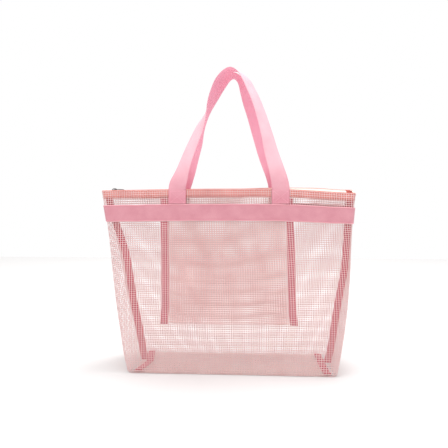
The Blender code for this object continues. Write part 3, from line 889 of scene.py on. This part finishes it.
def makeSlider():
    # two plates that narrow to one end, the post between them, and the arch that the pull hangs on
    low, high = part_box("zip_slider")
    middle, reach = (low.x + high.x) / 2, (high.x - low.x) / 2
    pullLow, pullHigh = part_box("zip_pull")
    t = np.linspace(-1, 1, 25)
    roundedEnds = np.sqrt(np.clip(1 - np.abs(t) ** 7, 0.02, 1))
    wide, thin = roundedProfile(1.0, 1.0, 20, 4.0)
    topPlate = zipper["level"] + slide["topLevel"]
    solids = []
    for z, waist in ((low.z + slide["plate"] / 2, slide["waist"]), (topPlate, slide["waist"] + 0.06)):
        span = high.y * roundedEnds * (1 - (1 - waist) * ease(t, -0.1, 1.0))
        rings = np.stack(np.broadcast_arrays(
            (middle + t * reach * 0.99)[:, None], span[:, None] * wide, z + thin * slide["plate"] / 2), -1)
        solids.append(loft(rings))
    # the post, and the arch: a bar that rises, runs along and comes down again
    a = np.linspace(0, np.pi, 25)
    postX = middle + np.linspace(-slide["postReach"], slide["postReach"], 25) * reach
    postZ = np.full(25, (low.z + topPlate) / 2)
    archX = middle - np.cos(a) * reach * slide["archReach"]
    archZ = topPlate + np.sin(a) ** 0.7 * (high.z - topPlate - 0.0006)
    for x, z, half in (
        (postX, postZ, (topPlate - low.z) / 2),
        (archX, archZ, slide["archBar"] / 2),
    ):
        line = np.stack((x, 0 * x, z), -1)
        forward = unit(np.gradient(line, axis=0))
        upward = unit(np.cross(forward, (0, 1.0, 0)))
        rings = line[:, None] + upward[:, None] * thin[:, None] * half
        rings[..., 1] += wide * slide["post"]
        solids.append(loft(rings))
    body = makePiece("zip_slider_body", join(*solids), looks["metal"], ("zip_slider",))
    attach(body, "slider")
    # the pull: an eye round the arch, then a tab that widens to a rounded end
    length, half = pullHigh.x - middle, pullHigh.y
    run = np.linspace(slide["eye"] * 0.8, length, 25)
    share = (run - run[0]) / (run[-1] - run[0])
    span = half * (0.62 + 0.38 * ease(share, 0.1, 0.9)) * np.sqrt(np.clip(1 - share**9, 0.03, 1))
    axis = (pullHigh.z + pullLow.z) / 2 + length * np.sin(slide["tilt"]) / 2
    tall = 0.0005 + 0.0002 * np.sin(np.pi * share)
    tab = np.stack(np.broadcast_arrays(
        (middle + run * np.cos(slide["tilt"]))[:, None], span[:, None] * wide,
        (axis - run * np.sin(slide["tilt"]))[:, None] + thin * tall[:, None]), -1)
    a = np.linspace(0, 2 * np.pi, 33)
    oval = np.sign(np.cos(a)) * np.abs(np.cos(a)) ** 0.6, np.sign(np.sin(a)) * np.abs(np.sin(a)) ** 0.6
    centre = slide["eye"] / 2 - 0.0005
    eyeRun = centre + oval[0] * slide["eye"] / 2
    line = np.stack((middle + eyeRun, oval[1] * half * 0.62, axis - eyeRun * np.sin(slide["tilt"])), -1)
    outward = unit(line - np.array((middle + centre, 0, axis)))
    rings = line[:, None] + outward[:, None] * wide[:, None] * 0.00055
    rings[..., 2] += thin * 0.0005
    pull = makePiece("zip_pull_tab", join(loft(tab), loft(rings)), looks["metal"], ("zip_pull",))
    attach(pull, "pull")
    print("slider made")


# stitches


def makeStitches(name, starts, ends, normals, look, body, thread=0.00035):
    # each stitch is a short bar, thin at both ends and arched in the middle
    share = np.array((0.0, 0.3, 0.7, 1.0))[:, None]
    arch = np.array((-0.6, 0.7, 0.7, -0.6))[:, None] * thread
    girth = np.array((0.45, 1.0, 1.0, 0.45))[:, None, None] * thread
    line = starts[:, None] + (ends - starts)[:, None] * share + normals[:, None] * arch
    forward = unit(ends - starts)
    side = unit(np.cross(normals, forward))
    signs = np.array(((1, 1), (-1, 1), (-1, -1), (1, -1)))
    cross = side[:, None, None] * signs[:, :1] + normals[:, None, None] * signs[:, 1:]
    rings = line[:, :, None] + cross * girth
    piece = makePiece(name, bars(rings), look)
    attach(piece, body)
    return piece


def rowOf(surface, low, high, pitch, fill=0.62):
    # starts and ends of the stitches that fit between low and high on a line of the surface
    edges = spaced(low, high, pitch)[:-1]
    return surface(edges), surface(edges + pitch * fill)


seam = {
    "hemUp": 0.0022,  # over the hem's lower edge
    "hemPitch": 0.0034,
    "bandInset": 0.0022,  # from each edge of the band
    "bandPitch": 0.0036,
    "boxLow": 0.3325,
    "boxHigh": 0.3560,
    "boxHalf": 0.0145,
    "boxPitch": 0.0028,
    "boxStitch": 0.0018,
    "boxProud": 0.0009,
}


def makeSeams():
    for word, side in (("front", -1), ("back", 1)):
        girth = halfWidth(0.35) + halfDepth(0.35)
        z = shape["hemBottom"] + seam["hemUp"]
        pitch = seam["hemPitch"] / girth
        a, b = rowOf(lambda s: bagPoint(s, z + 0 * s, side, 0.0003), -0.995, 0.995, pitch)
        out = np.tile((0.0, side, 0.0), (len(a), 1))
        makeStitches(f"{word}_hem_stitches", a, b, out, looks["hemThread"], "bag")
        low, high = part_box(f"{word}_band")
        starts, ends = [], []
        pitch = seam["bandPitch"] / girth
        for z in (low.z + seam["bandInset"], high.z - seam["bandInset"]):
            a, b = rowOf(lambda s: bagPoint(s, z + 0 * s, side, 0.0019), -0.995, 0.995, pitch)
            starts.append(a)
            ends.append(b)
        a, b = np.concatenate(starts), np.concatenate(ends)
        out = np.tile((0.0, side, 0.0), (len(a), 1))
        makeStitches(f"{word}_band_stitches", a, b, out, looks["thread"], "bag")
        spacing = handle["frontSpacing"] if side < 0 else handle["backSpacing"]
        route = frontRoute if side < 0 else backRoute
        starts, ends = [], []
        for row in (route[0], route[-1]):
            x0 = row[0] * spacing / 2 + handle["shift"]
            zLow, zHigh, half = seam["boxLow"], seam["boxHigh"], seam["boxHalf"]
            corners = ((-half, zLow), (half, zLow), (half, zHigh), (-half, zHigh))
            lines = [(corners[k], corners[(k + 1) % 4]) for k in range(4)]
            lines += [(corners[0], corners[2]), (corners[1], corners[3])]
            for p, q in lines:
                length = np.hypot(q[0] - p[0], q[1] - p[1])
                share = spaced(0, 1, seam["boxPitch"] / length)[:-1]
                for group, extra in ((starts, 0), (ends, seam["boxStitch"] / length)):
                    t = share + extra
                    x, z = x0 + p[0] + (q[0] - p[0]) * t, p[1] + (q[1] - p[1]) * t
                    group.append(facePoint(x - lean(z), z, side, band["proud"] + seam["boxProud"]))
        a, b = np.concatenate(starts), np.concatenate(ends)
        out = np.tile((0.0, side, 0.0), (len(a), 1))
        makeStitches(f"{word}_handle_stitches", a, b, out, looks["paleThread"], "bag")
    print("seams stitched")


# build

makeCamera()
makeWorld()
makeLamp("key", studio["keyPlace"], studio["keySize"], studio["keyPower"])
makeLamp("fill", studio["fillPlace"], studio["fillSize"], studio["fillPower"])
reach = studio["floorReach"]
floorMesh = bpy.data.meshes.new("floor")
drop = -studio["floorDrop"]
floorCorners = [(-reach, -reach, drop), (reach, -reach, drop), (reach, reach, drop), (-reach, reach, drop)]
floorMesh.from_pydata(floorCorners, [], [(0, 1, 2, 3)])
floorMesh.materials.append(floorLook())
floor = bpy.data.objects.new("floor", floorMesh)
bpy.context.scene.collection.objects.link(floor)
print("studio set")

for word, side in (("front", -1), ("back", 1)):
    makeHem(word, side)
    makeBand(word, side)
    makeZipHalf(word, side)
makeBody()
for word, hand in (("left", -1), ("right", 1)):
    makeSideTape(word, hand)
    makeCornerTape(word, hand)
    makeZipEnd(word, hand)
makePocket()
makeHandle("front", -1, handle["frontSpacing"], frontRoute)
makeHandle("back", 1, handle["backSpacing"], backRoute)
print("handles made")
makeSeams()
makeSlider()
